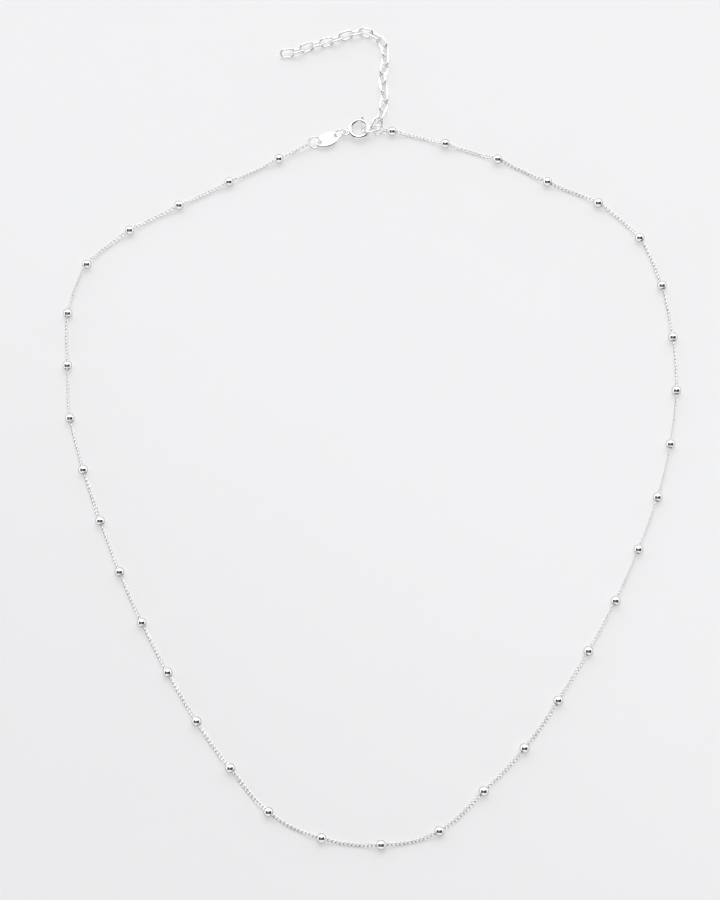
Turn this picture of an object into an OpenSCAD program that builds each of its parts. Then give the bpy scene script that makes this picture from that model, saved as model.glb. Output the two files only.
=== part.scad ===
// Satellite chain necklace: a fine curb chain with small polished balls at an even
// pitch, closed by a spring ring clasp, with an oval tag on one side of the clasp and
// a short extender chain of larger links on the other. It lies flat on a surface.
// Millimetres, +Z up. The origin is on the surface, in the middle of the loop's outline.

/* [Fine chain and balls] */
// Width of the fine chain
chain_w = 0.75; // [0.6:0.05:0.9]
// Diameter of each ball
ball_d = 2; // [1.8:0.1:3]
// Distance from one ball's centre to the next, along the chain
ball_pitch = 12; // [10:0.5:20]
// Distance of the first ball's centre from the chain's right end
first_ball_at = 1.65; // [1.5:0.05:6]
// Room between the chain and the bore of a ball, on each side
bore_clear = 0.2; // [0.18:0.01:0.25]
// Gap between each end of the chain and the ring that it is closed on
chain_end_gap = 0.1; // [0.05:0.05:0.3]

/* [Spring ring clasp] */
// Outer diameter of the clasp's ring
clasp_d = 5; // [5:0.25:8]
// Diameter of the tube that the clasp's ring is bent from
tube_d = 1; // [0.9:0.05:1.1]
// Wall of that tube
tube_wall = 0.18; // [0.12:0.01:0.2]
// Angle where the mouth starts, counted from the side of the extender
mouth_from = 25; // [20:1:30]
// Angle that the mouth takes out of the ring
mouth_span = 40; // [34:1:42]
// Running clearance between the bolt and the tube, on each side
bolt_clear = 0.04; // [0.02:0.01:0.08]
// Angle that the closed bolt's tip reaches into the fixed end
bolt_lap = 5; // [3:1:8]
// Angle from the mouth's end to the thumb lever
lever_after = 11; // [10:1:14]
// Length of the bolt behind the thumb lever, as an angle
bolt_tail = 50; // [30:1:55]
// Thickness of the thumb lever's stem
stem_d = 0.26; // [0.2:0.02:0.36]
// Diameter of the thumb lever's round head
lever_head_d = 0.6; // [0.5:0.05:0.8]
// Outer diameter of the eye soldered to the ring
eye_d = 1.74; // [1.7:0.02:2]
// Wire of that eye
eye_wire = 0.44; // [0.36:0.02:0.46]

/* [Jump rings] */
// Outer diameter of the ring that the clasp is hooked on
hook_ring_d = 3.45; // [3.4:0.05:3.9]
// Wire of that ring
hook_ring_wire = 0.45; // [0.35:0.05:0.5]
// Outer diameter of the ring at the chain's right end
right_ring_d = 2.6; // [2.5:0.05:2.9]
// Outer diameter of the ring between the clasp and the tag
tag_ring_d = 2.7; // [2.6:0.05:3]
// Outer diameter of the ring between the tag and the chain's left end
left_ring_d = 2.96; // [2.8:0.05:3.4]
// Wire of the three smaller rings
ring_wire = 0.4; // [0.3:0.05:0.45]

/* [Oval tag] */
// Length of the tag
tag_l = 5.4; // [5:0.1:8]
// Width of the tag
tag_w = 3.4; // [2.8:0.1:3.8]
// Radius of the tag's ends
tag_end_r = 1.1; // [1:0.05:1.3]
// Thickness of the tag
tag_t = 0.3; // [0.2:0.05:0.35]
// Diameter of the hole at each end
tag_hole_d = 1.1; // [1.1:0.05:1.3]
// Metal between each hole and the tag's end
tag_hole_edge = 0.25; // [0.2:0.05:0.3]

/* [Extender] */
// Length of one link
link_l = 3.5; // [3.4:0.1:4.5]
// Width of one link
link_w = 2.3; // [2.2:0.1:2.6]
// Wire of the links
link_wire = 0.5; // [0.4:0.05:0.5]
// How many links hang on the hook ring
link_count = 20; // [4:1:24]
// Slack between two links
link_slack = 0.25; // [0.2:0.05:0.4]

/* [Hidden] */
$fn = 48;

// Where the necklace lies: centre of the clasp, and the chosen points that the chain
// passes between its right end and its left end, clockwise from the clasp
clasp_at = [-2.5, 66.9];
chain_route = [
    [10.5, 65], [16.5, 63], [28, 59], [38.5, 53.5], [49, 48.5], [57.5, 40.5],
    [62, 29.5], [64, 18], [64.5, 6], [63, -6], [60, -18], [51, -40], [39, -61],
    [32, -71], [24, -79.5], [14.5, -88], [3.5, -90.5], [-9, -89], [-19, -84],
    [-27, -75], [-34, -65.5], [-46, -44.5], [-55.5, -22.5], [-63, 1], [-64, 12.5],
    [-64.5, 24], [-61, 35.5], [-52, 43.5], [-41, 49.5], [-20, 60]
];
// Chosen points that the extender passes after its first link, to its free end
extender_route = [
    [2.5, 71], [3, 75], [2.5, 79], [3, 82.5], [3, 86], [1.5, 89], [-1.5, 90.5],
    [-5, 90], [-9, 88.5], [-13, 87.5], [-17, 86], [-21, 85.5], [-25, 85.5]
];

// How each ring leans on what it holds: its roll, in degrees from lying flat
hook_roll = -39;
right_roll = 51;
tag_ring_roll = 75;
left_roll = 50;
link_roll = 42;
first_link_roll = 25;
first_link_tilt = -9.5;

// Directions in the plane, in degrees
tag_ring_turn = 16;
tag_turn = 25;
left_ring_turn = 17;
first_link_bearing = 39;
first_link_turn = 64;

// Small slips that keep neighbouring wires about a tenth of a millimetre apart
hook_off = [0.18, -0.1];
right_off = [-0.19, -0.24];
tag_ring_pull = 0.05;
left_ring_pull = -0.08;
first_link_slip = 0.33;
clasp_lift = 0.17;
tag_lift = 0.28;
first_link_lift = 0.01;
first_link_ease = 0.05;

// How finely lines and meshed wires are divided
span_steps = 10;
heading_step = 0.5;
chain_sides = 8;
link_sides = 6;
link_bend_steps = 6;
tag_side_fn = 96;

// Bare chain kept between the last ball and the chain's left end, and the height at
// which the chain comes down from that ball
tail_room = 0.5;
end_sag = 0.6;

// Radii and heights worked out from the sizes above
chain_r = chain_w / 2;
ball_r = ball_d / 2;
bore_r = chain_r + bore_clear;
tube_r = tube_d / 2;
hollow_r = tube_r - tube_wall;
bolt_r = hollow_r - bolt_clear;
clasp_r = clasp_d / 2 - tube_r;
eye_wire_r = eye_wire / 2;
eye_r = eye_d / 2 - eye_wire_r;
wire_r = ring_wire / 2;
hook_wire_r = hook_ring_wire / 2;
hook_r = hook_ring_d / 2 - hook_wire_r;
right_r = right_ring_d / 2 - wire_r;
tag_ring_r = tag_ring_d / 2 - wire_r;
left_r = left_ring_d / 2 - wire_r;
link_wire_r = link_wire / 2;
link_bend_r = link_w / 2 - link_wire_r;
link_straight = (link_l - link_w) / 2;
link_pitch = link_l - 2 * link_wire - link_slack;
clasp_z = hook_ring_wire + tube_r + clasp_lift;
tag_z = ring_wire + tag_lift;
tag_mid_z = tag_z + tag_t / 2;
tag_hole_x = tag_l / 2 - tag_hole_edge - tag_hole_d / 2;
right_z = seat(right_r, wire_r, right_roll);
left_z = seat(left_r, wire_r, left_roll);

// The pieces' places, worked out from the clasp outwards to both sides
eye_sink = 0.3;
eye_at = clasp_at - turned([clasp_r + tube_r + eye_d / 2 - eye_sink, 0], tag_ring_turn);
tag_ring_at = eye_at - turned(crossing(tag_ring_r, wire_r, tag_ring_roll, clasp_z, 1)
    + [tag_ring_pull, 0], tag_ring_turn);
right_hole_at = tag_ring_at + turned(crossing(tag_ring_r, wire_r, tag_ring_roll, tag_mid_z, -1)
    - [tag_ring_pull, 0], tag_ring_turn);
tag_at = right_hole_at - turned([tag_hole_x, 0], tag_turn);
left_hole_at = tag_at - turned([tag_hole_x, 0], tag_turn);
left_ring_at = left_hole_at - turned(crossing(left_r, wire_r, left_roll, tag_mid_z, 1)
    + [left_ring_pull, 0], left_ring_turn);
hook_at = clasp_at + [clasp_r, 0] + hook_off;
right_ring_at = hook_at + [hook_r - hook_wire_r + right_r - wire_r, 0] + right_off;
first_link_at = hook_at + turned([hook_r - hook_wire_r + link_straight + link_bend_r
    - link_wire_r - first_link_slip, 0], first_link_bearing);

// The chain's centreline from ring to ring, and the extender's from its first link
chain_from = right_ring_at + [right_r + wire_r + chain_end_gap, 0];
chain_to = left_ring_at - turned([left_r + wire_r + chain_end_gap, 0], left_ring_turn);
chain_line = smooth(concat([chain_from], chain_route, [chain_to]));
chain_x = along(chain_line, 0);
chain_y = along(chain_line, 1);
chain_len = chain_x[len(chain_x) - 1][0];
extender_line = smooth(concat([first_link_at], extender_route));
extender_x = along(extender_line, 0);
extender_y = along(extender_line, 1);

// Balls that fit on the chain, and where each one is along it
ball_count = floor((chain_len - first_ball_at - ball_r - tail_room) / ball_pitch) + 1;
last_ball_at = ball_s(ball_count);
function ball_s(i) = first_ball_at + (i - 1) * ball_pitch;
function ball_name(i) = str("ball_", i < 10 ? "0" : "", i);

ball_names = [for (i = [1:ball_count]) ball_name(i)];

// A vector in the plane turned by an angle
function turned(v, angle) = [
    v[0] * cos(angle) - v[1] * sin(angle),
    v[0] * sin(angle) + v[1] * cos(angle)
];

// Height of a rolled ring's centre when its lowest point rests on the surface
function seat(r, wire, roll) = r * abs(sin(roll)) + wire;

// Where a rolled ring that rests on the surface passes the height h, on one side
function crossing(r, wire, roll, h, side) =
    let (v = (h - seat(r, wire, roll)) / sin(roll))
    [side * sqrt(r * r - v * v), v * cos(roll)];

// A smooth line through points: each span is a cubic whose slopes at its ends come
// from the neighbouring points, weighed by the square roots of their distances
function smooth(pts) =
    let (last = len(pts) - 1)
    let (q = concat([2 * pts[0] - pts[1]], pts, [2 * pts[last] - pts[last - 1]]))
    concat([for (i = [1:last]) each span(q[i - 1], q[i], q[i + 1], q[i + 2])], [pts[last]]);
function span(p0, p1, p2, p3) =
    let (d1 = sqrt(norm(p1 - p0)), d2 = sqrt(norm(p2 - p1)), d3 = sqrt(norm(p3 - p2)))
    let (m1 = ((p1 - p0) / d1 - (p2 - p0) / (d1 + d2) + (p2 - p1) / d2) * d2)
    let (m2 = ((p2 - p1) / d2 - (p3 - p1) / (d2 + d3) + (p3 - p2) / d3) * d2)
    [for (k = [0:span_steps - 1]) let (t = k / span_steps)
        (2 * t * t * t - 3 * t * t + 1) * p1 + (t * t * t - 2 * t * t + t) * m1
        + (3 * t * t - 2 * t * t * t) * p2 + (t * t * t - t * t) * m2];

// A table of [distance along the line, coordinate], for lookup()
function along(line, axis) =
    [for (i = 0, s = 0; i < len(line);
        s = s + (i < len(line) - 1 ? norm(line[i + 1] - line[i]) : 0), i = i + 1)
        [s, line[i][axis]]];
function chain_at(s) = [lookup(s, chain_x), lookup(s, chain_y)];
function extender_at(s) = [lookup(s, extender_x), lookup(s, extender_y)];
function heading(a, b) = atan2(b[1] - a[1], b[0] - a[0]);
function chain_heading(s) = heading(chain_at(s - heading_step), chain_at(s + heading_step));
function extender_heading(s) =
    heading(extender_at(max(s - link_pitch / 2, 0)), extender_at(s + link_pitch / 2));

// The fine chain's stations: at each ball it runs through the ball's centre, and
// between two balls it sinks to the surface
tail_len = chain_len - last_ball_at;
function station(s, z) = [chain_at(s)[0], chain_at(s)[1], z];
chain_stations = concat(
    [station(0, right_z)],
    [for (i = [1:ball_count]) each concat(
        [station(ball_s(i), ball_r)],
        i < ball_count ? [station(ball_s(i) + ball_pitch / 2, chain_r)] : []
    )],
    [station(last_ball_at + tail_len / 2, max(chain_r, end_sag)), station(chain_len, left_z)]
);

// Rings of a tube along stations in space, each square to the line's mean direction
function unit(v) = v / norm(v);
function direction(line, i) =
    let (last = len(line) - 1)
    let (before = i > 0 ? unit(line[i] - line[i - 1]) : unit(line[1] - line[0]))
    let (after = i < last ? unit(line[i + 1] - line[i]) : unit(line[last] - line[last - 1]))
    unit(before + after);
function tube_points(line, r, sides) = [
    for (i = [0:len(line) - 1])
        let (t = direction(line, i))
        let (side = unit(cross(t, [0, 0, 1])))
        let (up = cross(side, t))
        for (k = [0:sides - 1])
            let (a = (k + 0.5) * 360 / sides)
            line[i] + r * (cos(a) * side + sin(a) * up)
];
function wall_faces(rings, sides, closed) = [
    for (i = [0:rings - (closed ? 1 : 2)]) for (k = [0:sides - 1])
        let (a = i * sides + k, b = i * sides + (k + 1) % sides)
        let (c = (i + 1) % rings * sides + (k + 1) % sides, d = (i + 1) % rings * sides + k)
        each [[a, b, c], [a, c, d]]
];

module tube(line, r, sides) {
    n = len(line);
    caps = [
        [for (k = [sides - 1:-1:0]) k],
        [for (k = [0:sides - 1]) (n - 1) * sides + k]
    ];
    polyhedron(tube_points(line, r, sides), concat(wall_faces(n, sides, false), caps));
}

// One chain link lying flat: two half rounds joined by straights, of round wire
module link_wire_loop(straight, bend_r, wire) {
    path = [for (side = [1, -1]) for (k = [0:link_bend_steps])
        let (a = side * 90 - 180 + 180 * k / link_bend_steps)
        [side * straight, 0, bend_r, a]];
    points = [for (p = path) for (k = [0:link_sides - 1])
        let (b = k * 360 / link_sides, r = p[2] + wire * cos(b))
        [p[0] + r * cos(p[3]), r * sin(p[3]), wire * sin(b)]];
    polyhedron(points, wall_faces(len(path), link_sides, true));
}

// A round jump ring of wire, leaning by its roll on the surface
module jump_ring(at, r, wire, roll, turn) {
    translate([at[0], at[1], seat(r, wire, roll)])
        rotate([roll, 0, turn])
            rotate_extrude() translate([r, 0]) circle(wire);
}

// A ball turned about its bore: the disc outside the bore's radius, spun round
module ball(i) {
    s = ball_s(i);
    color([0.92, 0.92, 0.93])
        translate([chain_at(s)[0], chain_at(s)[1], ball_r])
            rotate([0, 90, chain_heading(s)])
                rotate_extrude()
                    intersection() {
                        circle(ball_r);
                        translate([bore_r, -ball_r]) square(ball_d);
                    }
}

module fine_chain() {
    color([0.82, 0.82, 0.84]) tube(chain_stations, chain_r, chain_sides);
}

module right_end_ring() {
    color([0.86, 0.86, 0.88]) jump_ring(right_ring_at, right_r, wire_r, right_roll, 0);
}

module hook_ring() {
    color([0.86, 0.86, 0.88]) jump_ring(hook_at, hook_r, hook_wire_r, hook_roll, 0);
}

module tag_ring() {
    color([0.86, 0.86, 0.88])
        jump_ring(tag_ring_at, tag_ring_r, wire_r, tag_ring_roll, tag_ring_turn);
}

module left_end_ring() {
    color([0.86, 0.86, 0.88])
        jump_ring(left_ring_at, left_r, wire_r, left_roll, left_ring_turn);
}

// The stem's clearance in its slot, the angle left free past it, and the slot's ends
stem_clear = 0.05;
slot_end_room = 1;
slot_side = asin((stem_d / 2 + stem_clear) / clasp_r) + slot_end_room;
lever_at = mouth_from + mouth_span + lever_after;
slot_from = lever_at - slot_side;
slot_span = mouth_span + bolt_lap + 2 * slot_side;

module clasp_body() {
    color([0.9, 0.9, 0.92])
        translate([clasp_at[0], clasp_at[1], clasp_z])
            difference() {
                union() {
                    rotate_extrude(angle = 360 - mouth_span, start = mouth_from + mouth_span)
                        translate([clasp_r, 0]) circle(tube_r);
                    translate([eye_at[0] - clasp_at[0], eye_at[1] - clasp_at[1], 0])
                        rotate_extrude() translate([eye_r, 0]) circle(eye_wire_r);
                }
                rotate_extrude() translate([clasp_r, 0]) circle(hollow_r);
                rotate_extrude(angle = slot_span, start = slot_from)
                    translate([clasp_r, -stem_d / 2 - stem_clear])
                        square([tube_d, stem_d + 2 * stem_clear]);
            }
}

module clasp_bolt() {
    bolt_from = mouth_from - bolt_lap;
    head_r = lever_head_d / 2;
    head_x = clasp_r + tube_r + stem_clear + head_r;
    color([0.8, 0.8, 0.82])
        translate([clasp_at[0], clasp_at[1], clasp_z])
            union() {
                rotate_extrude(angle = lever_at + bolt_tail - bolt_from, start = bolt_from)
                    translate([clasp_r, 0]) circle(bolt_r);
                rotate([0, 90, lever_at]) translate([0, 0, clasp_r])
                    cylinder(h = head_x - clasp_r, d = stem_d);
                rotate([0, 0, lever_at]) translate([head_x, 0, 0]) sphere(head_r);
            }
}

// A flat oval of four arcs with a round hole near each end
module oval_tag() {
    end_x = tag_l / 2 - tag_end_r;
    half_w = tag_w / 2;
    side_r = (end_x * end_x + half_w * half_w - tag_end_r * tag_end_r) / (2 * (half_w - tag_end_r));
    meet_x = side_r * end_x / (side_r - tag_end_r);
    color([0.93, 0.93, 0.93])
        translate([tag_at[0], tag_at[1], tag_z])
            rotate([0, 0, tag_turn])
                linear_extrude(tag_t)
                    difference() {
                        union() {
                            intersection() {
                                translate([0, half_w - side_r]) circle(side_r, $fn = tag_side_fn);
                                translate([0, side_r - half_w]) circle(side_r, $fn = tag_side_fn);
                                square([2 * meet_x, 2 * tag_w], center = true);
                            }
                            for (side = [-1, 1]) translate([side * end_x, 0]) circle(tag_end_r);
                        }
                        for (side = [-1, 1]) translate([side * tag_hole_x, 0]) circle(d = tag_hole_d);
                    }
}

// Height of a link's centre when, tilted and rolled, it rests on the surface
function link_seat(tilt, roll) =
    link_straight * abs(sin(tilt)) + link_wire_r
    + link_bend_r * sqrt(pow(sin(tilt), 2) + pow(cos(tilt) * sin(roll), 2));

module extender_chain() {
    color([0.88, 0.88, 0.9])
        for (i = [0:link_count - 1]) {
            first = i == 0;
            s = first ? 0 : i * link_pitch - first_link_ease;
            at = extender_at(s);
            tilt = first ? first_link_tilt : 0;
            roll = first ? first_link_roll : (i % 2 == 0 ? 1 : -1) * link_roll;
            turn = first ? first_link_turn : extender_heading(s);
            translate([at[0], at[1], link_seat(tilt, roll) + (first ? first_link_lift : 0)])
                rotate([roll, tilt, turn])
                    link_wire_loop(link_straight, link_bend_r, link_wire_r);
        }
}

for (i = [1:ball_count]) ball(i);
fine_chain();
right_end_ring();
hook_ring();
clasp_body();
clasp_bolt();
tag_ring();
oval_tag();
left_end_ring();
extender_chain();
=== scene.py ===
import bpy
import bmesh
import numpy as np
from mathutils import Matrix, Vector


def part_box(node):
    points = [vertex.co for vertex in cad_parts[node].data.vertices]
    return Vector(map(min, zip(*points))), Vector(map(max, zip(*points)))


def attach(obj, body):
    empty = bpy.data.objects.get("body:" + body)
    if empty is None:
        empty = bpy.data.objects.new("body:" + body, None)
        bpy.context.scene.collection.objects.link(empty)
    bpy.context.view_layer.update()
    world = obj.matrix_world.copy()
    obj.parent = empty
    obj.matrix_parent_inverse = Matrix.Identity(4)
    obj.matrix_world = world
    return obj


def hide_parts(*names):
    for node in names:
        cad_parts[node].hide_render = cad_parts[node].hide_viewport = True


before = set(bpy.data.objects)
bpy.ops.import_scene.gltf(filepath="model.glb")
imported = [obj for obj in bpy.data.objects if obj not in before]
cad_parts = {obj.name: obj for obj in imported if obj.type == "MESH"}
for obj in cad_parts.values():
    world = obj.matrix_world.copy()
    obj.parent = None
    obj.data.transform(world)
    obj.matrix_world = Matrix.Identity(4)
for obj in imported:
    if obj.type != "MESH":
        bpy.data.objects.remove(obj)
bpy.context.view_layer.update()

# The camera stands over the near side of the loop and looks down at a slant, with a
# long lens, as the photograph was taken. The picture's frame is 720 by 900.

camera_aim = Vector((-0.0016, -0.0072, 0.001))
camera_distance = 0.5842
camera_down = np.radians(70.14)
camera_turn = np.radians(9.16)
lens_mm = 112.0
sensor_mm = 36.0
nearest_seen = 0.01

camera_axes = (
    Matrix.Rotation(camera_turn, 4, "Z")
    @ Matrix.Rotation(np.pi / 2 - camera_down, 4, "X")
    @ Matrix.Rotation(-camera_turn, 4, "Z")
)
camera_data = bpy.data.cameras.new("camera")
camera_data.lens = lens_mm
camera_data.sensor_width = sensor_mm
camera_data.clip_start = nearest_seen
camera = bpy.data.objects.new("camera", camera_data)
toward_camera = camera_axes.to_3x3() @ Vector((0, 0, 1))
camera.matrix_world = (
    Matrix.Translation(camera_aim + toward_camera * camera_distance) @ camera_axes
)
bpy.context.scene.collection.objects.link(camera)
bpy.context.scene.camera = camera

# Fine chain. Drawn silver wire is wound into oval links, and every link is twisted the
# same way, so that the chain lies flat as a curb chain does. Its faces are filed flat.
# It runs through all the balls, from the ring at its right end to the ring at its left.

chain_route = [
    (0.0105, 0.065), (0.0165, 0.063), (0.028, 0.059), (0.0385, 0.0535), (0.049, 0.0485),
    (0.0575, 0.0405), (0.062, 0.0295), (0.064, 0.018), (0.0645, 0.006), (0.063, -0.006),
    (0.060, -0.018), (0.051, -0.040), (0.039, -0.061), (0.032, -0.071), (0.024, -0.0795),
    (0.0145, -0.088), (0.0035, -0.0905), (-0.009, -0.089), (-0.019, -0.084),
    (-0.027, -0.075), (-0.034, -0.0655), (-0.046, -0.0445), (-0.0555, -0.0225),
    (-0.063, 0.001), (-0.064, 0.0125), (-0.0645, 0.024), (-0.061, 0.0355),
    (-0.052, 0.0435), (-0.041, 0.0495), (-0.020, 0.060),
]
# How far the chain is rolled from lying flat, in degrees, between its right end and the
# first ball, then between each ball and the next, and after the last ball
chain_rolls = [
    20, -20, -5, 40, 40, -20, -45, -65, -85, -90, -90, -90, -88, -80, -65, -50, -50, -45, -42,
    -40, -32, 0, 30, 40, 45, 55, 75, 45, 80, 90, 90, 100, 170, 155, 155, 110, 90,
]
ring_wire = 0.0004
left_ring_d = 0.00296
left_ring_turn = 17
link_pitch = 0.0008
link_wire = 0.00026
link_half_l = 0.00057
link_half_w = 0.00034
link_twist = 0.0002
link_filed = 0.00023
link_steps = 12
link_sides = 5
ball_d = 0.002
ball_pitch = 0.012
first_ball_at = 0.00165
chain_leaves_ball = 0.0006
chain_reaches_floor = 0.0042
chain_nears_left_ring = 0.002
chain_end_gap = 0.0001
end_link_reach = 0.0001
roll_turn_share = 2 / 3


def smooth_line(points, steps=10):
    """A smooth line through points. Each span is a cubic, and its slopes at both ends
    come from the neighbouring points, weighed by the square roots of their distances."""
    p = np.asarray(points, float)
    q = np.vstack([2 * p[0] - p[1], p, 2 * p[-1] - p[-2]])
    p0, p1, p2, p3 = q[:-3], q[1:-2], q[2:-1], q[3:]
    d1 = np.sqrt(np.linalg.norm(p1 - p0, axis=1))[:, None]
    d2 = np.sqrt(np.linalg.norm(p2 - p1, axis=1))[:, None]
    d3 = np.sqrt(np.linalg.norm(p3 - p2, axis=1))[:, None]
    m1 = ((p1 - p0) / d1 - (p2 - p0) / (d1 + d2) + (p2 - p1) / d2) * d2
    m2 = ((p2 - p1) / d2 - (p3 - p1) / (d2 + d3) + (p3 - p2) / d3) * d2
    t = (np.arange(steps) / steps)[None, :, None]
    spans = (
        (2 * t**3 - 3 * t**2 + 1) * p1[:, None]
        + (t**3 - 2 * t**2 + t) * m1[:, None]
        + (3 * t**2 - 2 * t**3) * p2[:, None]
        + (t**3 - t**2) * m2[:, None]
    )
    return np.vstack([spans.reshape(-1, p.shape[1]), p[-1]])


def lengths(line):
    """The distance of each point of a line from its start, along the line."""
    return np.append(0, np.cumsum(np.linalg.norm(np.diff(line, axis=0), axis=1)))


def on_line(line, s):
    """The points at distances s along a line. Past its ends the line goes straight on."""
    run = lengths(line)
    inside = np.stack([np.interp(s, run, line[:, k]) for k in range(2)], axis=-1)
    before = np.minimum(s, 0)[:, None] * (line[1] - line[0]) / run[1]
    after = np.maximum(s - run[-1], 0)[:, None] * (line[-1] - line[-2]) / (run[-1] - run[-2])
    return inside + before + after


def ease(x):
    """From 0 to 1 as x goes from 0 to 1, level at both ends: 3x^2 - 2x^3."""
    x = np.clip(x, 0, 1)
    return x * x * (3 - 2 * x)


def unit(v):
    """Vectors scaled to length 1."""
    return v / np.linalg.norm(v, axis=-1, keepdims=True)


def wire_along(path, outward, radius, sides):
    """Round wire round closed loops. path has the loops' points, by loop and by step.
    Round each point lies a circle of the wire's radius, square to the path, and its
    angle is counted from the direction outward. Returns points by loop, step and side."""
    along = unit(np.roll(path, -1, axis=1) - np.roll(path, 1, axis=1))
    out = unit(outward - (outward * along).sum(-1, keepdims=True) * along)
    up = np.cross(along, out)
    a = np.arange(sides) * 2 * np.pi / sides
    circle = np.cos(a)[:, None] * out[..., None, :] + np.sin(a)[:, None] * up[..., None, :]
    return path[..., None, :] + radius * circle


def loop_faces(loops, steps, sides):
    """Four-cornered faces of closed loops of wire, each joined to itself both ways."""
    loop, step, side = np.meshgrid(
        np.arange(loops), np.arange(steps), np.arange(sides), indexing="ij"
    )
    next_step, next_side = (step + 1) % steps, (side + 1) % sides
    corners = [(step, side), (step, next_side), (next_step, next_side), (next_step, side)]
    return np.stack([(loop * steps + i) * sides + k for i, k in corners], -1).reshape(-1, 4)


def make_piece(name, points, faces, body, replaced):
    """A mesh object from points and faces, smooth, riding on a body, in place of a node."""
    mesh = bpy.data.meshes.new(name)
    mesh.from_pydata(np.asarray(points).reshape(-1, 3).tolist(), [], np.asarray(faces).tolist())
    mesh.update()
    mesh.shade_smooth()
    piece = bpy.data.objects.new(name, mesh)
    bpy.context.scene.collection.objects.link(piece)
    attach(piece, body)
    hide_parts(*replaced)
    return piece


def ring_middle(node):
    """The middle of a node's box, where a round ring or a ball has its centre."""
    low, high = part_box(node)
    return np.array((low + high) / 2)


right_ring_edge = np.array(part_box("right_end_ring")[1])[0]
right_ring_at = ring_middle("right_end_ring")
left_ring_at = ring_middle("left_end_ring")
chain_from = np.array([right_ring_edge + chain_end_gap, right_ring_at[1]])
left_ring_heading = np.radians(left_ring_turn)
chain_to = left_ring_at[:2] - (left_ring_d / 2 + chain_end_gap) * np.array(
    [np.cos(left_ring_heading), np.sin(left_ring_heading)]
)
chain_line = smooth_line([chain_from, *chain_route, chain_to])
chain_len = lengths(chain_line)[-1]
ball_names = sorted(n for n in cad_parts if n.startswith("ball_"))
ball_s = first_ball_at + ball_pitch * np.arange(len(ball_names))


def one_link():
    """A twisted oval link lying flat. The wire's middle is at (a cos t, b sin t, c sin 2t),
    so that its two ends lean opposite ways and hook into its neighbours. Where the wire
    stands proud of the filed faces it is cut level. Points by step and side."""
    t = np.arange(link_steps) * 2 * np.pi / link_steps
    path = np.stack(
        [link_half_l * np.cos(t), link_half_w * np.sin(t), link_twist * np.sin(2 * t)], axis=-1
    )
    outward = np.stack([np.cos(t), np.sin(t), 0 * t], axis=-1)
    wire = wire_along(path[None], outward[None], link_wire / 2, link_sides)[0]
    wire[..., 2] = np.clip(wire[..., 2], -link_filed, link_filed)
    return wire


link_shape = one_link()


def chain_roll(s):
    """The chain's roll at distances s. Each value holds in the middle of its stretch, and
    passes smoothly to the next one over the given share of the way between them."""
    ends = np.concatenate([[0], ball_s, [chain_len]])
    middles = (ends[1:] + ends[:-1]) / 2
    near = np.clip(np.searchsorted(middles, s) - 1, 0, len(middles) - 2)
    share = (s - middles[near]) / (middles[near + 1] - middles[near])
    turned = ease((share - 0.5) / roll_turn_share + 0.5)
    rolls = np.array(chain_rolls, float)
    return np.radians(rolls[near] + (rolls[near + 1] - rolls[near]) * turned)


def chain_height(s):
    """The chain's height at distances s. It goes through the middle of each ball, comes
    down until its links touch the surface, as their roll allows, and meets the ring at
    each end at its middle."""
    flat = link_shape.reshape(-1, 3)
    roll = chain_roll(s)[:, None]
    rest = np.abs(np.sin(roll) * flat[:, 1] + np.cos(roll) * flat[:, 2]).max(axis=1)
    away = np.abs(s[:, None] - ball_s).min(axis=1)
    fall = ease((away - chain_leaves_ball) / (chain_reaches_floor - chain_leaves_ball))
    z = ball_d / 2 + (rest - ball_d / 2) * fall
    last_reach = ball_s[-1] + chain_nears_left_ring
    left = ease((s - last_reach) / (chain_len - last_reach))
    right = ease(1 - s / first_ball_at)
    z = z + (left_ring_at[2] - z) * left
    return z + (right_ring_at[2] - z) * right


def curb_links(s):
    """Links at distances s, each turned along the chain and rolled with it. A link whose
    end would dip into the surface, where the chain slopes down to it, is lifted clear."""
    step = link_pitch / 2
    ahead, behind = on_line(chain_line, s + step), on_line(chain_line, s - step)
    rise = chain_height(s + step) - chain_height(s - step)
    along = unit(np.column_stack([ahead - behind, rise]))
    side = unit(np.cross([0, 0, 1.0], along))
    up = np.cross(along, side)
    roll = chain_roll(s)[:, None]
    across = np.cos(roll) * side + np.sin(roll) * up
    proud = np.cross(along, across)
    axes = np.stack([along, across, proud], axis=1)
    middle = np.column_stack([on_line(chain_line, s), chain_height(s)])
    links = middle[:, None, None] + np.einsum("tsk,lkj->ltsj", link_shape, axes)
    links[..., 2] -= np.minimum(links[..., 2].min(axis=(1, 2), keepdims=True), 0)
    return links


end_link_s = np.array([-end_link_reach, chain_len + end_link_reach])
link_count = int(round((end_link_s[1] - end_link_s[0]) / link_pitch)) + 1
link_s = np.linspace(end_link_s[0], end_link_s[1], link_count)
link_points = curb_links(link_s)
fine_chain = make_piece(
    "fine_chain_links",
    link_points,
    loop_faces(link_count, link_steps, link_sides),
    "necklace",
    ["fine_chain"],
)

# The silver of every piece is worn a little: fine hairlines from polishing and handling,
# and a faint uneven haze. Both are worked out here once, and each metal sets how strong
# they are on it.

# Each direction of hairlines is a turn in radians and a stretch
hairline_slants = (((0.3, 0.2, 0.9), (1, 0.06, 0.5)), ((0.9, 0.4, 2.3), (0.5, 1, 0.05)))
hairline_detail = 3
hairline_from = 0.18
hairline_to = 0.36
hairline_strength = 0.5
haze_marks_share = 0.3
haze_detail = 2
haze_from = 0.35
haze_to = 0.7


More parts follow.
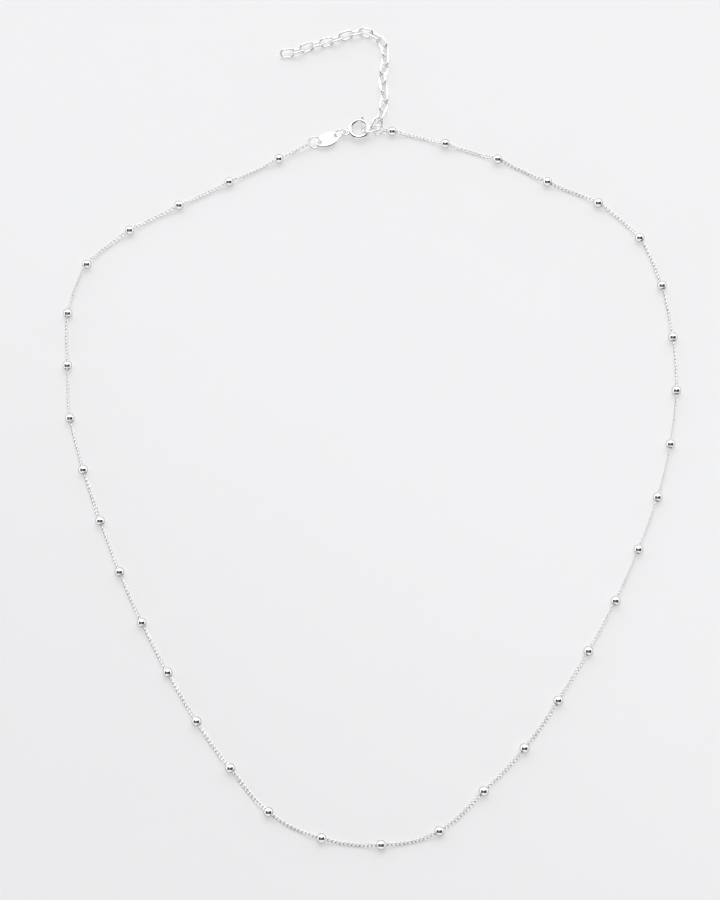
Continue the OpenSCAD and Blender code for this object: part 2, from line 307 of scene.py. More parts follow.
def polish_marks():
    """A node group for worn polished silver. Hairlines are noise stretched along two
    slanted directions, haze is soft noise, and both come out as values from 0 to 1."""
    group = bpy.data.node_groups.new("polish_marks", "ShaderNodeTree")
    face = group.interface
    face.new_socket("Marks per metre", in_out="INPUT", socket_type="NodeSocketFloat")
    face.new_socket("Bright", in_out="INPUT", socket_type="NodeSocketColor")
    face.new_socket("Dull", in_out="INPUT", socket_type="NodeSocketColor")
    face.new_socket("Roughest", in_out="INPUT", socket_type="NodeSocketFloat")
    face.new_socket("Smoothest", in_out="INPUT", socket_type="NodeSocketFloat")
    face.new_socket("Color", in_out="OUTPUT", socket_type="NodeSocketColor")
    face.new_socket("Roughness", in_out="OUTPUT", socket_type="NodeSocketFloat")
    face.new_socket("Hairlines", in_out="OUTPUT", socket_type="NodeSocketFloat")
    nodes, link = group.nodes, group.links.new
    given = nodes.new("NodeGroupInput")
    made = nodes.new("NodeGroupOutput")
    place = nodes.new("ShaderNodeTexCoord")
    lines = []
    for turn, stretch in hairline_slants:
        slant = nodes.new("ShaderNodeMapping")
        slant.inputs["Rotation"].default_value = turn
        slant.inputs["Scale"].default_value = stretch
        noise = nodes.new("ShaderNodeTexNoise")
        noise.inputs["Detail"].default_value = hairline_detail
        link(place.outputs["Object"], slant.inputs["Vector"])
        link(slant.outputs["Vector"], noise.inputs["Vector"])
        link(given.outputs["Marks per metre"], noise.inputs["Scale"])
        lines.append(noise.outputs["Fac"])
    both = nodes.new("ShaderNodeMath")
    both.operation = "MULTIPLY"
    link(lines[0], both.inputs[0])
    link(lines[1], both.inputs[1])
    sharper = nodes.new("ShaderNodeMapRange")
    sharper.inputs["From Min"].default_value = hairline_from
    sharper.inputs["From Max"].default_value = hairline_to
    link(both.outputs["Value"], sharper.inputs["Value"])
    link(sharper.outputs["Result"], made.inputs["Hairlines"])
    haze = nodes.new("ShaderNodeTexNoise")
    haze.inputs["Detail"].default_value = haze_detail
    fewer = nodes.new("ShaderNodeMath")
    fewer.operation = "MULTIPLY"
    fewer.inputs[1].default_value = haze_marks_share
    link(given.outputs["Marks per metre"], fewer.inputs[0])
    link(fewer.outputs["Value"], haze.inputs["Scale"])
    link(place.outputs["Object"], haze.inputs["Vector"])
    cloud = nodes.new("ShaderNodeMapRange")
    cloud.inputs["From Min"].default_value = haze_from
    cloud.inputs["From Max"].default_value = haze_to
    link(haze.outputs["Fac"], cloud.inputs["Value"])
    rough = nodes.new("ShaderNodeMapRange")
    link(cloud.outputs["Result"], rough.inputs["Value"])
    link(given.outputs["Smoothest"], rough.inputs["To Min"])
    link(given.outputs["Roughest"], rough.inputs["To Max"])
    link(rough.outputs["Result"], made.inputs["Roughness"])
    tint = nodes.new("ShaderNodeMix")
    tint.data_type = "RGBA"
    link(cloud.outputs["Result"], tint.inputs["Factor"])
    link(given.outputs["Bright"], tint.inputs["A"])
    link(given.outputs["Dull"], tint.inputs["B"])
    link(tint.outputs["Result"], made.inputs["Color"])
    return group


silver_wear = polish_marks()


def silver(name, bright, dull, smooth, rough, marks, bump_m, edge):
    """Worn silver: a metal whose colour and roughness follow the polish marks, with the
    hairlines as a bump of a micron or less. Seen along the surface it is darker, by the
    edge colour. Returns the material."""
    material = bpy.data.materials.new(name)
    material.use_nodes = True
    nodes, link = material.node_tree.nodes, material.node_tree.links.new
    shader = nodes["Principled BSDF"]
    shader.inputs["Metallic"].default_value = 1
    shader.inputs["Specular Tint"].default_value = (*edge, 1)
    wear = nodes.new("ShaderNodeGroup")
    wear.node_tree = silver_wear
    wear.inputs["Marks per metre"].default_value = marks
    wear.inputs["Bright"].default_value = (*bright, 1)
    wear.inputs["Dull"].default_value = (*dull, 1)
    wear.inputs["Smoothest"].default_value = smooth
    wear.inputs["Roughest"].default_value = rough
    bump = nodes.new("ShaderNodeBump")
    bump.inputs["Distance"].default_value = bump_m
    bump.inputs["Strength"].default_value = hairline_strength
    link(wear.outputs["Color"], shader.inputs["Base Color"])
    link(wear.outputs["Roughness"], shader.inputs["Roughness"])
    link(wear.outputs["Hairlines"], bump.inputs["Height"])
    link(bump.outputs["Normal"], shader.inputs["Normal"])
    return material


chain_silver = silver(
    "chain_silver", bright=(0.95, 0.95, 0.945), dull=(0.91, 0.91, 0.91), smooth=0.26,
    rough=0.40, marks=4000, bump_m=0.000002, edge=(0.97, 0.97, 0.97),
)
fine_chain.data.materials.append(chain_silver)

# Balls. Each is a small silver ball, drilled through, with the rims of its hole rounded
# over. They are threaded on the chain and polished until they mirror the room.

bore_r = 0.00049
rim_round = 0.0001
ball_steps = 26
rim_steps = 4
ball_around = 40
heading_step = 0.0005


def ball_profile():
    """The outline of half a drilled ball beside its bore: a sphere's arc, a small round
    at each rim and the bore's wall. Columns are the place along the bore and the radius."""
    r = ball_d / 2
    rim_r = bore_r + rim_round
    rim_x = np.sqrt((r - rim_round) ** 2 - rim_r**2)
    meet = np.arctan2(rim_r, rim_x)
    a = np.linspace(np.pi - meet, meet, ball_steps)
    arc = np.column_stack([r * np.cos(a), r * np.sin(a)])
    b = np.linspace(meet, -np.pi / 2, rim_steps + 1)[1:]
    rim = np.column_stack([rim_x + rim_round * np.cos(b), rim_r + rim_round * np.sin(b)])
    return np.vstack([arc, rim, rim[::-1] * [-1, 1]])


def spin(profile, middle, heading, sides):
    """A profile turned round a level axis with that heading. Its columns are the place
    along the axis and the radius. Points by step of the profile and by side."""
    x, r = np.asarray(profile).T
    a = np.arange(sides) * 2 * np.pi / sides
    along = np.array([np.cos(heading), np.sin(heading), 0])
    side = np.array([-np.sin(heading), np.cos(heading), 0])
    ring = np.cos(a)[:, None] * side + np.sin(a)[:, None] * np.array([0, 0, 1])
    return middle + x[:, None, None] * along + r[:, None, None] * ring


ball_silver = silver(
    "ball_silver", bright=(0.90, 0.90, 0.885), dull=(0.84, 0.84, 0.835), smooth=0.03,
    rough=0.09, marks=3000, bump_m=0.0000006, edge=(0.25, 0.25, 0.25),
)
ball_ahead = on_line(chain_line, ball_s + heading_step)
ball_behind = on_line(chain_line, ball_s - heading_step)
ball_along = ball_ahead - ball_behind
ball_headings = np.arctan2(ball_along[:, 1], ball_along[:, 0])
for name, heading in zip(ball_names, ball_headings):
    points = spin(ball_profile(), ring_middle(name), heading, ball_around)
    ball = make_piece(
        name.replace("ball_", "polished_ball_"),
        points,
        loop_faces(1, points.shape[0], ball_around),
        "necklace",
        [name],
    )
    ball.data.materials.append(ball_silver)

# Jump rings. Each is a turn of round silver wire, sawn through so that it can be sprung
# open and closed again, and the cut shows as a hairline gap.

hook_ring_d = 0.00345
hook_ring_wire = 0.00045
ring_cut = 0.00003
cut_chamfer = 0.04
chamfer_share = 0.86
ring_steps = 56
ring_sides = 14
weld_within = 1e-7
crisp_angle = np.radians(42)


def cut_ring(middle, outer_d, wire_d, roll, turn, cut_at):
    """Wire round a circle from one side of the cut to the other, rolled and then turned.
    The wire narrows at the cut, over the chamfer's angle in radians, and its radius falls
    to nothing at each end, which closes the cut's two faces."""
    r = (outer_d - wire_d) / 2
    half_cut = ring_cut / 2 / r
    a = cut_at + np.linspace(half_cut, 2 * np.pi - half_cut, ring_steps)
    first, last = [a[0]] * 2 + [a[0] + cut_chamfer], [a[-1] - cut_chamfer] + [a[-1]] * 2
    a = np.concatenate([first, a[1:-1], last])
    wire_r = wire_d / 2 * np.ones(len(a))
    wire_r[[0, -1]] = 0
    wire_r[[1, -2]] *= chamfer_share
    out = np.stack([np.cos(a), np.sin(a), 0 * a], axis=-1)
    b = np.arange(ring_sides) * 2 * np.pi / ring_sides
    circle = np.cos(b)[None, :, None] * out[:, None] + np.sin(b)[None, :, None] * [0, 0, 1.0]
    points = r * out[:, None] + wire_r[:, None, None] * circle
    turned = Matrix.Rotation(np.radians(turn), 3, "Z") @ Matrix.Rotation(np.radians(roll), 3, "X")
    return middle + points @ np.array(turned).T


def strip_faces(steps, sides):
    """Four-cornered faces of a wire that is open at both ends and closed round itself."""
    return loop_faces(1, steps, sides).reshape(steps, sides, 4)[:-1].reshape(-1, 4)


def weld(piece):
    """Joins points that coincide, so that poles and seams are closed, turns the faces
    outwards and keeps the cut edges crisp."""
    mesh = bmesh.new()
    mesh.from_mesh(piece.data)
    bmesh.ops.remove_doubles(mesh, verts=mesh.verts, dist=weld_within)
    loose = [corner for corner in mesh.verts if not corner.link_faces]
    bmesh.ops.delete(mesh, geom=loose, context="VERTS")
    bmesh.ops.recalc_face_normals(mesh, faces=mesh.faces)
    mesh.to_mesh(piece.data)
    mesh.free()
    piece.data.set_sharp_from_angle(angle=crisp_angle)


ring_silver = silver(
    "ring_silver", bright=(0.97, 0.97, 0.96), dull=(0.92, 0.92, 0.91), smooth=0.18,
    rough=0.30, marks=3000, bump_m=0.000001, edge=(0.85, 0.85, 0.85),
)
# Outer diameter and wire in metres, then roll, turn and the place of the cut in degrees
jump_rings = {
    "right_end_ring": (0.0026, ring_wire, 51, 0, 200),
    "hook_ring": (hook_ring_d, hook_ring_wire, -39, 0, 265),
    "tag_ring": (0.0027, ring_wire, 75, 16, 80),
    "left_end_ring": (left_ring_d, ring_wire, 50, left_ring_turn, 100),
}
for name, (outer_d, wire_d, roll, turn, cut_at) in jump_rings.items():
    points = cut_ring(ring_middle(name), outer_d, wire_d, roll, turn, np.radians(cut_at))
    ring = make_piece(
        name.replace("_ring", "_jump_ring"),
        points,
        strip_faces(points.shape[0], ring_sides),
        "necklace",
        [name],
    )
    weld(ring)
    ring.data.materials.append(ring_silver)

# Oval tag. It is stamped from silver sheet, with a hole near each end, tumbled until its
# edges are soft and its faces are a little domed, and left bare.

tag_l = 0.0054
tag_w = 0.0034
tag_t = 0.0003
tag_end_r = 0.0011
tag_hole_r = 0.00055
tag_hole_x = 0.0019
tag_turn = 25
tag_round = 0.00007
tag_pillow = 0.00014
pillow_power = 3
side_steps = 15
end_steps = 23
seam_steps = 17
edge_steps = 4
# How far from the hole to the outline each round of points on the tag's face lies
face_shares = [0.3, 0.5, 0.65, 0.75, 0.83, 0.89, 0.94, 0.98]


def tag_outline():
    """The right half of the oval's outline: a side arc, an end arc and a side arc, then
    back up its middle. Returns the places and, on the arcs, their outward directions."""
    end_x, half_w = tag_l / 2 - tag_end_r, tag_w / 2
    side_r = (end_x**2 + half_w**2 - tag_end_r**2) / (2 * (half_w - tag_end_r))
    meet = np.arctan2(side_r - half_w, end_x)
    side = np.linspace(np.pi / 2, meet, side_steps)[:-1]
    a = np.concatenate([side, np.linspace(meet, -meet, end_steps), -side[::-1]])
    on_end = np.abs(a) <= meet
    r = np.where(on_end, tag_end_r, side_r)
    centre_x = np.where(on_end, end_x, 0)
    centre_y = np.where(on_end, 0, np.sign(a) * (half_w - side_r))
    out = np.column_stack([np.cos(a), np.sin(a)])
    arcs = np.column_stack([centre_x, centre_y]) + r[:, None] * out
    arcs[[0, -1], 0] = 0
    rise = np.linspace(-np.pi / 2, np.pi / 2, seam_steps)[1:-1]
    seam = np.column_stack([0 * rise, half_w * np.sin(rise)])
    return np.vstack([arcs, seam]), np.vstack([out, 0 * seam])


def half_tag():
    """The tag's right half as a grid that runs round the hole and, at each place, round
    the metal: over the top from the hole to the outline and back underneath. Edges are
    quarter rounds. The whole plate is pillowed: level in its middle, it falls towards its
    edge with a high power of the distance, the edge counting as 1."""
    places, out = tag_outline()
    hole = np.array([tag_hole_x, 0])
    away = unit(places - hole)
    quarter = np.linspace(0, np.pi / 2, edge_steps)
    inset = tag_round * (1 - np.cos(quarter))
    drop = tag_round * (1 - np.sin(quarter))
    near = hole + (tag_hole_r + inset)[:, None] * away[:, None]
    far = places[:, None] - inset[::-1][:, None] * out[:, None]
    share = np.array(face_shares)[:, None]
    top = np.concatenate([near, near[:, -1:] * (1 - share) + far[:, :1] * share, far], axis=1)
    top_z = np.concatenate([tag_t - drop, [tag_t] * len(share), tag_t - drop[::-1]])
    flat = np.concatenate([top, top[:, ::-1]], axis=1)
    z = np.concatenate([top_z, tag_t - top_z[::-1]]) + 0 * flat[..., 0]
    off = (2 * flat[..., 0] / tag_l) ** 2 + (2 * flat[..., 1] / tag_w) ** 2
    z = z + tag_pillow * (1 - off**pillow_power)
    points = np.concatenate([flat, z[..., None]], axis=-1)
    faces = loop_faces(1, len(places), z.shape[1])
    on_seam = (np.abs(points.reshape(-1, 3)[faces][..., 0]) < weld_within).all(axis=1)
    return points.reshape(-1, 3), faces[~on_seam]


right_half, half_faces = half_tag()
tag_points = np.vstack([right_half, right_half * [-1, 1, 1]])
tag_low = np.array(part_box("oval_tag")[0])[2]
tag_turned = np.array(Matrix.Rotation(np.radians(tag_turn), 3, "Z"))
oval_tag = make_piece(
    "stamped_tag",
    [*ring_middle("oval_tag")[:2], tag_low] + tag_points @ tag_turned.T,
    np.vstack([half_faces, half_faces + len(right_half)]),
    "necklace",
    ["oval_tag"],
)
weld(oval_tag)
tag_silver = silver(
    "tag_silver", bright=(0.90, 0.90, 0.89), dull=(0.82, 0.82, 0.82), smooth=0.16,
    rough=0.30, marks=5000, bump_m=0.000002, edge=(0.6, 0.6, 0.6),
)
oval_tag.data.materials.append(tag_silver)

# Spring ring clasp, its body. A silver tube is bent into a ring with a mouth, a slot for
# the thumb lever is sawn in its outer side, and an eye of wire is soldered to it.

clasp_middle = np.array([-0.0025, 0.0669, 0.00112])
clasp_r = 0.002
tube_r = 0.0005
hollow_r = 0.00032
tube_sides = 30
tube_steps = 80
slot_steps = 24
mouth_from = 25
mouth_to = 65
slot_from = 69.84
slot_to = 127.16
slot_half = 0.00018
tube_edge = 0.00005
eye_heading = np.radians(196)
eye_off = 0.00307
eye_r = 0.00065
eye_wire_r = 0.00022
eye_steps = 48
eye_sides = 16
solder_from = 0.00235
solder_to = 0.00275
solder_thin_r = 0.0002
solder_thick_r = 0.00036
solder_steps = 9
turned_sides = 20


def section_row(r, lip, slotted):
    """Angles round the tube's section, from one lip of the slot to the other, for each
    station. Where the tube isn't slotted the first and last are on the slot's middle."""
    low = np.where(slotted, lip, 0)[:, None]
    row = np.linspace(lip, 2 * np.pi - lip, tube_sides) + 0 * low
    angles = np.hstack([low, row, 2 * np.pi - low])
    return r[:, None, None] * np.stack([np.cos(angles), np.sin(angles)], axis=-1)


def clasp_tube():
    """The bent tube as a grid: stations round the ring, and at each one its section, once
    round the outside and back round the hollow. Walls between the two are kept only at
    the slot, and both ends are capped between the outside and the hollow."""
    quarter = np.linspace(0, np.pi / 2, edge_steps)
    run_in = tube_edge * (1 - np.cos(quarter)) / clasp_r
    trim = tube_edge * (1 - np.sin(quarter))
    start, end = np.radians([mouth_to, mouth_from + 360])
    cut = np.radians([slot_from, slot_to])
    before = np.append(start + run_in, cut[0])
    plain_end = np.linspace(cut[1], end - run_in[-1], tube_steps)
    after = np.append(plain_end, end - run_in[-2::-1])
    a = np.concatenate([before, np.linspace(*cut, slot_steps), after])
    slotted = np.zeros(len(a), bool)
    slotted[len(before) : len(before) + slot_steps] = True
    trims = np.zeros(len(a))
    trims[:edge_steps], trims[-edge_steps:] = trim, trim[::-1]
    outside = section_row(tube_r - trims, np.arcsin(slot_half / tube_r), slotted)
    inside = section_row(hollow_r + trims, np.arcsin(slot_half / hollow_r), slotted)
    section = np.concatenate([outside, inside[:, ::-1]], axis=1)
    ring = clasp_r + section[..., 0]
    points = np.stack(
        [ring * np.cos(a)[:, None], ring * np.sin(a)[:, None], section[..., 1]], axis=-1
    )
    rows = section.shape[1]
    faces = strip_faces(len(a), rows).reshape(-1, rows, 4)
    walls = np.isin(np.arange(rows), [rows // 2 - 1, rows - 1])
    plain = ~(slotted[1:] | slotted[:-1])
    kept = faces[~(plain[:, None] & walls)]
    j = np.arange(rows // 2 - 1)
    cap = np.column_stack([j, j + 1, rows - 2 - j, rows - 1 - j])
    return points.reshape(-1, 3), np.vstack([kept, cap, cap + (len(a) - 1) * rows])


def joined(parts):
    """Several grids of points with their faces, as one list of each."""
    starts = np.cumsum([0] + [len(points) for points, faces in parts[:-1]])
    faces = np.vstack([faces + start for (points, faces), start in zip(parts, starts)])
    return np.vstack([points for points, faces in parts]), faces


def spun(profile, middle, heading, sides):
    """A solid turned from a profile that starts and ends on its axis, with its faces."""
    points = spin(profile, middle, heading, sides)
    return points.reshape(-1, 3), strip_faces(len(profile), sides)


eye_at = eye_off * np.array([np.cos(eye_heading), np.sin(eye_heading), 0])
eye_a = np.arange(eye_steps) * 2 * np.pi / eye_steps
eye_out = np.stack([np.cos(eye_a), np.sin(eye_a), 0 * eye_a], axis=-1)[None]
eye_points = wire_along(eye_at + eye_r * eye_out, eye_out, eye_wire_r, eye_sides)
solder_x = np.linspace(solder_from, solder_to, solder_steps)
solder_left = (solder_to - solder_x) / (solder_to - solder_from)
solder_r = solder_thin_r + (solder_thick_r - solder_thin_r) * solder_left**2
solder = np.column_stack([solder_x, solder_r])
solder = np.vstack([[solder_from, 0], solder, [solder_to, 0]])
body_points, body_faces = joined([
    clasp_tube(),
    (eye_points.reshape(-1, 3), loop_faces(1, eye_steps, eye_sides)),
    spun(solder, np.zeros(3), eye_heading, turned_sides),
])
clasp_body = make_piece(
    "clasp_ring",
    clasp_middle + body_points,
    body_faces,
    "necklace",
    ["clasp_body"],
)
weld(clasp_body)
clasp_silver = silver(
    "clasp_silver", bright=(0.91, 0.91, 0.895), dull=(0.85, 0.85, 0.845), smooth=0.04,
    rough=0.12, marks=3000, bump_m=0.000001, edge=(0.35, 0.35, 0.35),
)
clasp_body.data.materials.append(clasp_silver)

# The clasp's bolt. A silver wire with rounded ends slides in the tube and closes the
# mouth. Its thumb lever, a short stem with a round head, stands out through the slot.

bolt_r = 0.00028
bolt_from = 20
bolt_to = 126
bolt_sides = 18
bolt_steps = 40
dome_steps = 7
lever_heading = 76
stem_r = 0.00013
lever_head_r = 0.0003
lever_head_x = 0.00285
neck_r = 0.00018
neck_from = 0.00012
neck_middle = (0.00004, 0.00014)
head_steps = 14


def bolt_wire():
    """A round wire bent along the ring's middle. Towards each end its radius follows a
    half ball's."""
    dome = np.linspace(0, np.pi / 2, dome_steps)
    run_in = bolt_r * (1 - np.cos(dome)) / clasp_r
    start, end = np.radians([bolt_from, bolt_to])
    middle = np.linspace(start + run_in[-1], end - run_in[-1], bolt_steps)[1:-1]
    a = np.concatenate([start + run_in, middle, end - run_in[::-1]])
    r = np.concatenate([bolt_r * np.sin(dome), 0 * middle + bolt_r, bolt_r * np.sin(dome[::-1])])
    b = np.arange(bolt_sides) * 2 * np.pi / bolt_sides
    ring = clasp_r + r[:, None] * np.cos(b)
    points = np.stack(
        [ring * np.cos(a)[:, None], ring * np.sin(a)[:, None], r[:, None] * np.sin(b)], axis=-1
    )
    return points.reshape(-1, 3), strip_faces(len(a), bolt_sides)


def lever_profile():
    """A stem that widens a little into the ball at its end."""
    meet = np.pi - np.arcsin(neck_r / lever_head_r)
    ball_a = np.linspace(meet, 0, head_steps)
    ball_x = lever_head_x + lever_head_r * np.cos(ball_a)
    head = np.column_stack([ball_x, lever_head_r * np.sin(ball_a)])
    foot = [(clasp_r, 0), (clasp_r, stem_r), (ball_x[0] - neck_from, stem_r)]
    return np.vstack([foot, [(ball_x[0] - neck_middle[0], neck_middle[1])], head])


bolt_points, bolt_faces = joined([
    bolt_wire(),
    spun(lever_profile(), np.zeros(3), np.radians(lever_heading), turned_sides),
])
clasp_bolt = make_piece(
    "bolt_and_lever", clasp_middle + bolt_points, bolt_faces, "clasp_bolt",
    ["clasp_bolt"],
)
weld(clasp_bolt)
bolt_silver = silver(
    "bolt_silver", bright=(0.90, 0.90, 0.89), dull=(0.80, 0.80, 0.80), smooth=0.08,
    rough=0.20, marks=4000, bump_m=0.000001, edge=(0.6, 0.6, 0.6),
)
clasp_bolt.data.materials.append(bolt_silver)

# Extender. Larger round-wire links, each closed and soldered, leaning one way and the
# other in turn, hang on the hook ring. The last link is free.

extender_route = [
    (0.0025, 0.071), (0.003, 0.075), (0.0025, 0.079), (0.003, 0.0825), (0.003, 0.086),
    (0.0015, 0.089), (-0.0015, 0.0905), (-0.005, 0.090), (-0.009, 0.0885),
    (-0.013, 0.0875), (-0.017, 0.086), (-0.021, 0.0855), (-0.025, 0.0855),
]
long_link_l = 0.0035
long_link_w = 0.0023
long_link_wire = 0.0005
long_link_count = 20
long_link_slack = 0.00025
long_link_roll = 42
long_link_bend_steps = 12
long_link_sides = 12
first_link = {
    "bearing": 39, "slip": 0.00033, "roll": 25, "tilt": -9.5, "turn": 64, "lift": 0.00001,
}
first_link_ease = 0.00005

hook_at = ring_middle("hook_ring")[:2]
hook_inside = hook_ring_d / 2 - hook_ring_wire
straight = (long_link_l - long_link_w) / 2
bend_r = (long_link_w - long_link_wire) / 2
reach = hook_inside + straight + bend_r - long_link_wire / 2 - first_link["slip"]
bearing = np.radians(first_link["bearing"])
first_link_at = hook_at + reach * np.array([np.cos(bearing), np.sin(bearing)])
extender_line = smooth_line([first_link_at, *extender_route])
long_link_pitch = long_link_l - 2 * long_link_wire - long_link_slack


def extender_links():
    """Long links: two half rounds joined by straights, placed along the extender's line.
    Each is rolled on its long axis, tilted, turned to the line and set on the surface."""
    a = np.linspace(-np.pi / 2, np.pi / 2, long_link_bend_steps + 1)
    one_end = np.stack([straight + bend_r * np.cos(a), bend_r * np.sin(a), 0 * a], axis=-1)
    path = np.concatenate([one_end, one_end * [-1, -1, 1]])[None]
    out = np.stack([np.cos(a), np.sin(a), 0 * a], axis=-1)
    outward = np.concatenate([out, -out])[None]
    wire = wire_along(path, outward, long_link_wire / 2, long_link_sides)[0]
    number = np.arange(long_link_count)
    s = np.where(number > 0, number * long_link_pitch - first_link_ease, 0)
    half = long_link_pitch / 2
    ahead = on_line(extender_line, s + half) - on_line(extender_line, np.maximum(s - half, 0))
    turn = np.arctan2(ahead[:, 1], ahead[:, 0])
    roll = np.radians(np.where(number % 2 == 0, long_link_roll, -long_link_roll))
    tilt = np.zeros(long_link_count)
    turn[0], roll[0], tilt[0] = np.radians([first_link[k] for k in ("turn", "roll", "tilt")])
    lean = np.sqrt(np.sin(tilt) ** 2 + (np.cos(tilt) * np.sin(roll)) ** 2)
    z = straight * np.abs(np.sin(tilt)) + long_link_wire / 2 + bend_r * lean
    z[0] += first_link["lift"]
    middle = np.column_stack([on_line(extender_line, s), z])
    turns = np.array([
        np.array(
            Matrix.Rotation(c, 3, "Z") @ Matrix.Rotation(b, 3, "Y") @ Matrix.Rotation(a, 3, "X")
        )
        for a, b, c in zip(roll, tilt, turn)
    ])
    return middle[:, None, None] + np.einsum("tsk,ljk->ltsj", wire, turns)


extender_points = extender_links()
extender = make_piece(
    "extender_links",
    extender_points,
    loop_faces(long_link_count, extender_points.shape[1], long_link_sides),
    "necklace",
    ["extender_chain"],
)
extender_silver = silver(
    "extender_silver", bright=(0.96, 0.96, 0.95), dull=(0.89, 0.89, 0.89), smooth=0.24,
    rough=0.38, marks=3000, bump_m=0.000001, edge=(0.85, 0.85, 0.85),
)
extender.data.materials.append(extender_silver)

# The surface that the necklace lies on: a plain opal sheet, very faintly uneven in tone. It glows
# a little by itself, as painted light that pales the shadows on it, and it glows more towards the
# far right, as a painted fall of light across it.

floor_size = 3.0
floor_drop = 0.00002
floor_glow_low = 0.425
floor_glow_high = 0.475
floor_glow_toward = (0.55, 0.83, 0)
floor_glow_from = -0.12
floor_glow_to = 0.02
opal_rough = 0.7
opal_shine = 0.2
opal_clouds_per_m = 60
opal_cloud_detail = 3
opal_darker = (0.452, 0.454, 0.467)
opal_paler = (0.462, 0.464, 0.477)

floor_mesh = bpy.data.meshes.new("floor")
reach_out = floor_size / 2
floor_mesh.from_pydata(
    [(-reach_out, -reach_out, -floor_drop), (reach_out, -reach_out, -floor_drop),
     (reach_out, reach_out, -floor_drop), (-reach_out, reach_out, -floor_drop)],
    [], [(0, 1, 2, 3)],
)
floor = bpy.data.objects.new("floor", floor_mesh)
bpy.context.scene.collection.objects.link(floor)
opal = bpy.data.materials.new("opal_sheet")
opal.use_nodes = True
opal_nodes, opal_link = opal.node_tree.nodes, opal.node_tree.links.new
opal_shader = opal_nodes["Principled BSDF"]
opal_shader.inputs["Roughness"].default_value = opal_rough
opal_shader.inputs["Specular IOR Level"].default_value = opal_shine
opal_shader.inputs["Emission Strength"].default_value = 1
opal_place = opal_nodes.new("ShaderNodeTexCoord")
opal_noise = opal_nodes.new("ShaderNodeTexNoise")
opal_noise.inputs["Scale"].default_value = opal_clouds_per_m
opal_noise.inputs["Detail"].default_value = opal_cloud_detail
opal_tint = opal_nodes.new("ShaderNodeMix")
opal_tint.data_type = "RGBA"
opal_tint.inputs["A"].default_value = (*opal_darker, 1)
opal_tint.inputs["B"].default_value = (*opal_paler, 1)
opal_link(opal_place.outputs["Object"], opal_noise.inputs["Vector"])
opal_link(opal_noise.outputs["Fac"], opal_tint.inputs["Factor"])
opal_link(opal_tint.outputs["Result"], opal_shader.inputs["Base Color"])
# Painted light: the sheet's own glow, stronger towards the far right, lightens its shadows and
# stands in for light falling unevenly over it
opal_along = opal_nodes.new("ShaderNodeVectorMath")
opal_along.operation = "DOT_PRODUCT"
opal_along.inputs[1].default_value = floor_glow_toward
opal_glow = opal_nodes.new("ShaderNodeMapRange")
opal_glow.interpolation_type = "SMOOTHSTEP"
for socket, value in (
    ("From Min", floor_glow_from), ("From Max", floor_glow_to),
    ("To Min", floor_glow_low), ("To Max", floor_glow_high),
):
    opal_glow.inputs[socket].default_value = value
opal_link(opal_place.outputs["Object"], opal_along.inputs[0])
opal_link(opal_along.outputs["Value"], opal_glow.inputs["Value"])
opal_link(opal_glow.outputs["Result"], opal_shader.inputs["Emission Color"])
floor_mesh.materials.append(opal)

# The light. White walls, brighter at both sides, stand round the necklace under a bright
# diffuser and a soft lamp. Towards the camera they are open, and the room there is dark,
# less so on its left, with a pale upright strip.

wall_bright = 1.1
wall_far_share = 0.05
wall_side_more = 0.5
glow_bright = 1.6
glow_axis = Vector((0.0, 0.38, 0.925)).normalized()
glow_edge = (0.82, 0.92)
room_dark = 0.07
room_left = 0.04
room_left_edge = (0.02, -0.06)
room_strip = 0.35
strip_left_edge = (-0.32, -0.22)
strip_right_edge = (0.02, -0.08)
opening_above = np.radians(30.5)
opening_below = np.radians(36.5)
opening_half_width = np.radians(74)
opening_soft = 0.04
lamp_at = Vector((0.12, 0.24, 0.50))
lamp_size = 0.30
lamp_watts = 0.2

world = bpy.data.worlds.new("tent")
bpy.context.scene.world = world
world.use_nodes = True
sky, sky_link = world.node_tree.nodes, world.node_tree.links.new
direction = sky.new("ShaderNodeTexCoord").outputs["Generated"]


def share_along(axis):
    """How far the seen direction points along an axis, from -1 to 1."""
    dot = sky.new("ShaderNodeVectorMath")
    dot.operation = "DOT_PRODUCT"
    dot.inputs[1].default_value = axis
    sky_link(direction, dot.inputs[0])
    return dot.outputs["Value"]


def sky_math(operation, first, second):
    """One arithmetic step between two values, or a value and a number."""
    step = sky.new("ShaderNodeMath")
    step.operation = operation
    for socket, value in zip(step.inputs, (first, second)):
        if isinstance(value, (int, float)):
            socket.default_value = value
        else:
            sky_link(value, socket)
    return step.outputs["Value"]


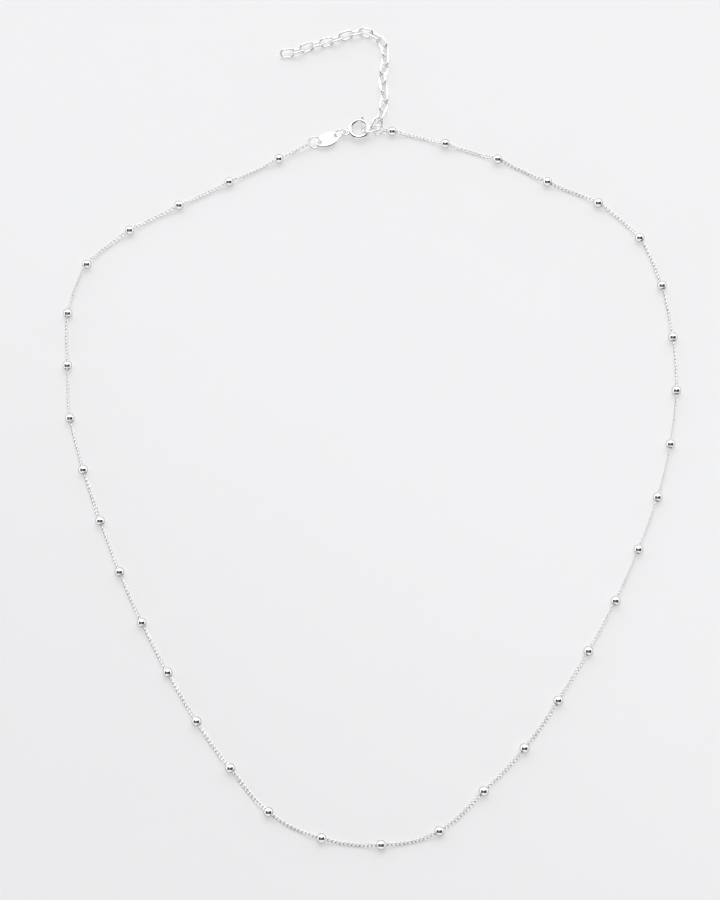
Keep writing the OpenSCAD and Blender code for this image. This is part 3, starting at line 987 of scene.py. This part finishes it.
def soft_edge(value, start, end):
    """From 0 to 1 as value goes from start to end."""
    edge = sky.new("ShaderNodeMapRange")
    edge.interpolation_type = "SMOOTHSTEP"
    edge.inputs["From Min"].default_value = start
    edge.inputs["From Max"].default_value = end
    sky_link(value, edge.inputs["Value"])
    return edge.outputs["Result"]


upward = share_along(camera_axes.to_3x3() @ Vector((0, 1, 0)))
edge_above, edge_below = np.sin(opening_above), -np.sin(opening_below)
under = soft_edge(upward, edge_above + opening_soft, edge_above - opening_soft)
over = soft_edge(upward, edge_below - opening_soft, edge_below + opening_soft)
edge_wide = np.cos(opening_half_width)
across = soft_edge(share_along(toward_camera), edge_wide - opening_soft, edge_wide + opening_soft)
opening = sky_math("MULTIPLY", sky_math("MULTIPLY", under, over), across)
walls = sky_math("MULTIPLY_ADD", share_along((0, 1, 0)), wall_far_share * wall_bright)
walls.node.inputs[2].default_value = wall_bright
sideways = share_along((1, 0, 0))
side_walls = sky_math("MULTIPLY", sky_math("MULTIPLY", sideways, sideways), wall_side_more)
walls = sky_math("ADD", walls, side_walls)
glow = sky_math("MULTIPLY", soft_edge(share_along(glow_axis), *glow_edge), glow_bright)
covered = sky_math("MULTIPLY", sky_math("ADD", walls, glow), sky_math("SUBTRACT", 1.0, opening))
rightward = share_along(camera_axes.to_3x3() @ Vector((1, 0, 0)))
left_room = sky_math("MULTIPLY", soft_edge(rightward, *room_left_edge), room_left)
strip_left = soft_edge(rightward, *strip_left_edge)
strip_right = soft_edge(rightward, *strip_right_edge)
strip = sky_math("MULTIPLY", sky_math("MULTIPLY", strip_left, strip_right), room_strip)
room = sky_math("ADD", sky_math("MAXIMUM", left_room, strip), room_dark)
room = sky_math("MULTIPLY", room, opening)
sky_link(sky_math("ADD", covered, room), sky["Background"].inputs["Strength"])
sky["Background"].inputs["Color"].default_value = (1, 1, 1, 1)

lamp_data = bpy.data.lights.new("lamp", "AREA")
lamp_data.size = lamp_size
lamp_data.energy = lamp_watts
lamp = bpy.data.objects.new("lamp", lamp_data)
lamp.location = lamp_at
lamp.rotation_euler = (-lamp_at).to_track_quat("-Z", "Y").to_euler()
bpy.context.scene.collection.objects.link(lamp)
bpy.context.scene.view_settings.view_transform = "Standard"
